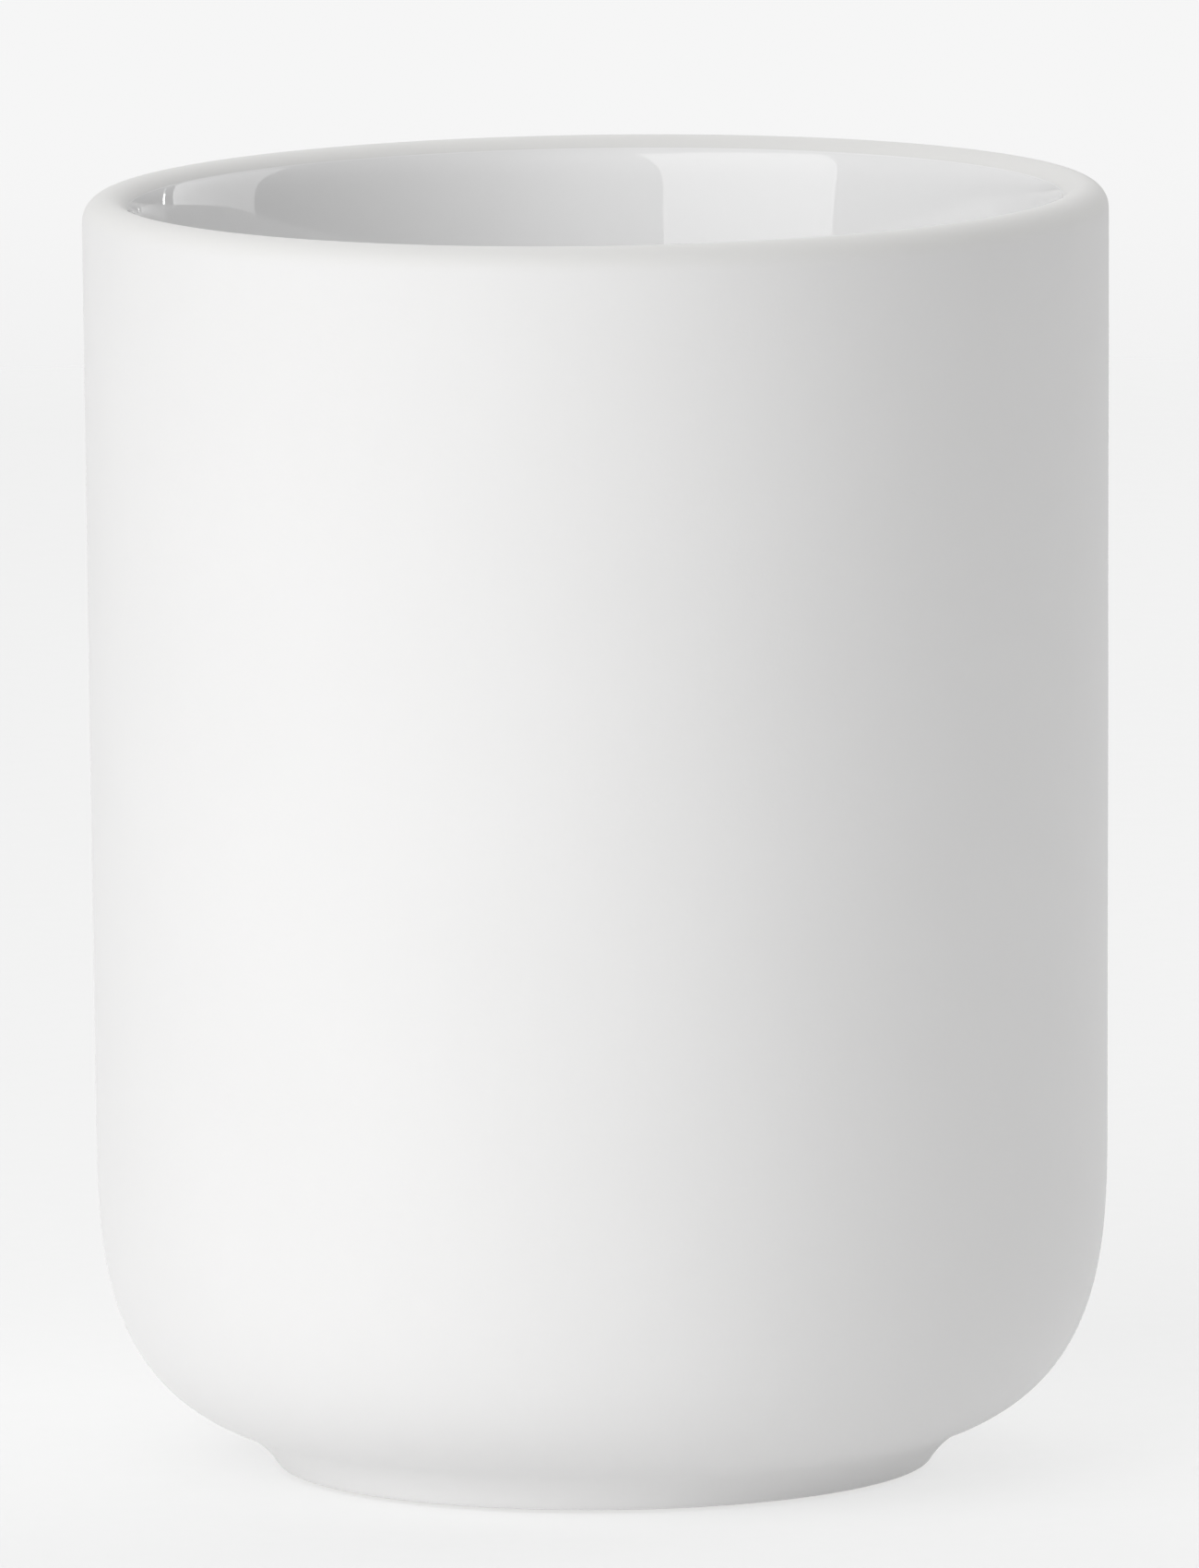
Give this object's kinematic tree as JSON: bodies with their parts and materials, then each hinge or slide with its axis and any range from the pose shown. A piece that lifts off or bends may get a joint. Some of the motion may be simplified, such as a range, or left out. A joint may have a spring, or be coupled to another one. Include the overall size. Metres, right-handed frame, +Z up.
{
  "type": "pen holder cup",
  "caption": "Round free-standing stoneware cup for pens: straight wall, full round lip, softly turned-in base on a low flared foot, matt outside and glossy inside.",
  "frame": {"origin": "centre of the face that the cup stands on, at table level", "axes": "+Z up along the cup's axis of revolution; +X and +Y are equivalent"},
  "size_m": [0.08, 0.08, 0.1003],
  "materials": {
    "stoneware": "unglazed biscuit, fine sanded grain",
    "glaze": "clear glossy white glaze, very slight waviness",
    "soft_touch": "matt off-white soft-touch lacquer with a faint velvety sheen",
    "pad": "matt grey non-slip pad"
  },
  "bodies": {
    "root": {"stoneware_body": "stoneware", "interior_glaze": "glaze", "soft_touch_coating": "soft_touch", "base_pad": "pad"}
  },
  "joints": []
}
